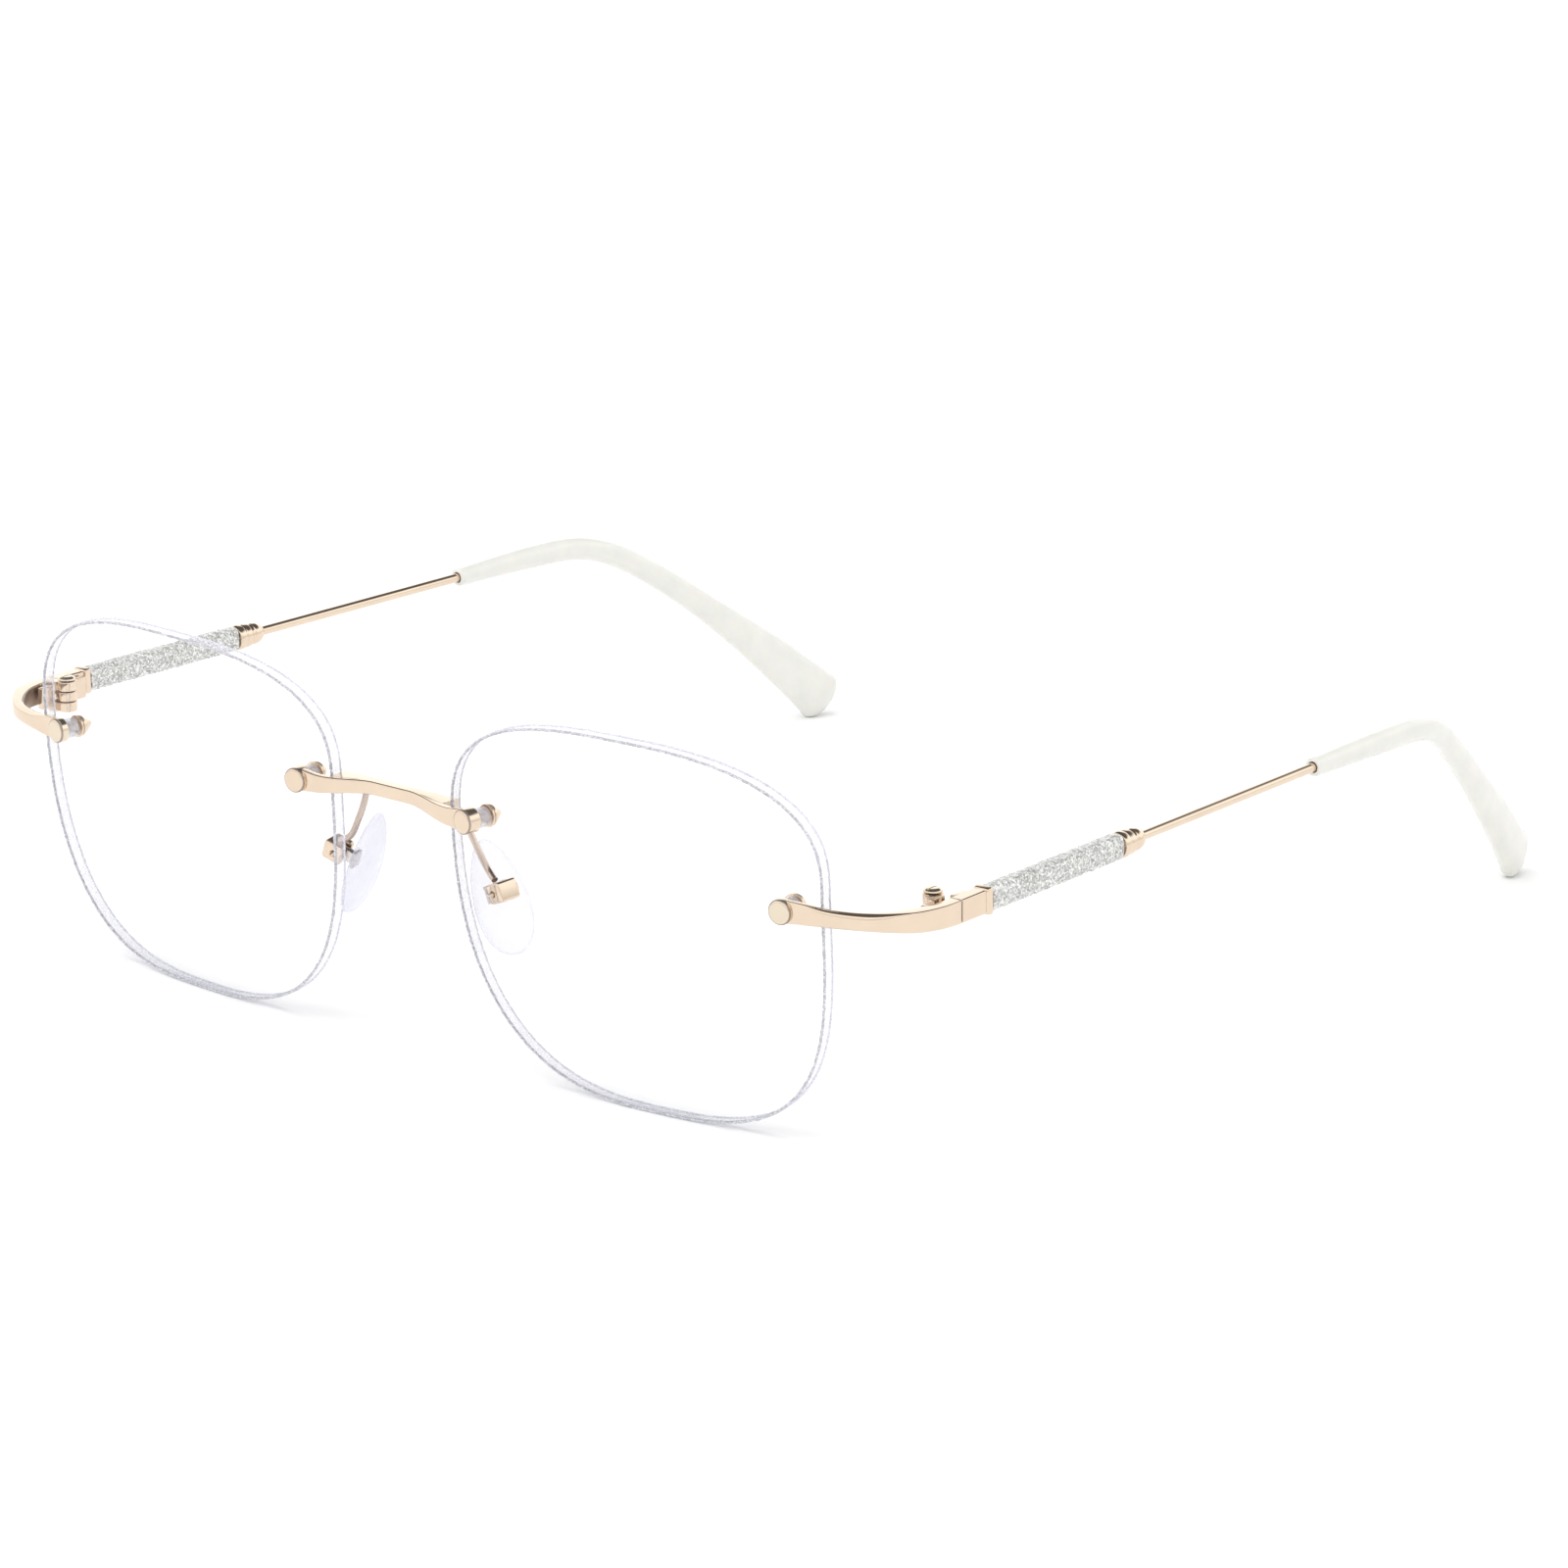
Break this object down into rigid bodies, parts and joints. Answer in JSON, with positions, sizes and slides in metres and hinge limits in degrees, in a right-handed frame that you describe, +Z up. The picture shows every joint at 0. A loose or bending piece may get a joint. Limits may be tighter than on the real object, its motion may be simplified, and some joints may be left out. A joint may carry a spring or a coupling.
{
  "type": "rimless eyeglasses",
  "caption": "Rimless eyeglasses with clear drilled lenses, rose-gold bridge and end pieces, glitter sleeves, slim folding wire temples and ivory ear tips.",
  "frame": {"origin": "middle of the open glasses' footprint, on the surface they stand on", "axes": "+X to the wearer's left, +Y back along the temples towards the ears, +Z up; the glasses stand open on the lenses' lower edges and the temple tips"},
  "size_m": [0.148, 0.145, 0.0453],
  "materials": {
    "rose_gold": "polished rose-gold plate",
    "clear_lens": "polished clear demo lens with a silver glitter edge",
    "clear_silicone": "soft clear silicone",
    "pad_core_steel": "bright metal pad core",
    "silver_glitter": "silver glitter in clear resin",
    "ivory_acetate": "glossy ivory",
    "clear_nylon": "clear nylon bush"
  },
  "bodies": {
    "front": {"bridge": "rose_gold", "lens_left": "clear_lens", "lens_right": "clear_lens", "end_piece_left": "rose_gold", "end_piece_right": "rose_gold", "pad_arm_left": "rose_gold", "pad_arm_right": "rose_gold", "pad_box_left": "rose_gold", "pad_box_right": "rose_gold", "pad_screw_left": "rose_gold", "pad_screw_right": "rose_gold", "hinge_leaf_front_left": "rose_gold", "hinge_leaf_front_right": "rose_gold", "hinge_screw_left": "rose_gold", "hinge_screw_right": "rose_gold", "bridge_bush_left": "clear_nylon", "bridge_bush_right": "clear_nylon", "bridge_washer_left": "rose_gold", "bridge_washer_right": "rose_gold", "bridge_cap_nut_left": "rose_gold", "bridge_cap_nut_right": "rose_gold", "end_bush_left": "clear_nylon", "end_bush_right": "clear_nylon", "end_washer_left": "rose_gold", "end_washer_right": "rose_gold", "end_cap_nut_left": "rose_gold", "end_cap_nut_right": "rose_gold"},
    "temple_left": {"temple_block_left": "rose_gold", "hinge_leaf_temple_left": "rose_gold", "glitter_sleeve_left": "silver_glitter", "ferrule_left": "rose_gold", "temple_wire_left": "rose_gold", "temple_tip_left": "ivory_acetate"},
    "temple_right": {"temple_block_right": "rose_gold", "hinge_leaf_temple_right": "rose_gold", "glitter_sleeve_right": "silver_glitter", "ferrule_right": "rose_gold", "temple_wire_right": "rose_gold", "temple_tip_right": "ivory_acetate"},
    "nose_pad_left_body": {"nose_pad_left": "clear_silicone", "pad_insert_left": "pad_core_steel"},
    "nose_pad_right_body": {"nose_pad_right": "clear_silicone", "pad_insert_right": "pad_core_steel"}
  },
  "joints": [
    {"name": "temple_left_fold", "type": "hinge", "parent": "front", "child": "temple_left", "pos_m": [0.07, -0.05541, 0.0284], "axis": [0, 0, 1], "range_deg": [0, 87]},
    {"name": "temple_right_fold", "type": "hinge", "parent": "front", "child": "temple_right", "pos_m": [-0.07, -0.05541, 0.0284], "axis": [0, 0, -1], "range_deg": [0, 82]},
    {"name": "nose_pad_left_rock", "type": "hinge", "parent": "front", "child": "nose_pad_left_body", "pos_m": [0.0132, -0.06551, 0.0218], "axis": [0.1761, 0.9797, 0.096], "range_deg": [-8, 8]},
    {"name": "nose_pad_right_rock", "type": "hinge", "parent": "front", "child": "nose_pad_right_body", "pos_m": [-0.0132, -0.06551, 0.0218], "axis": [0.1761, -0.9797, -0.096], "range_deg": [-8, 8]}
  ]
}
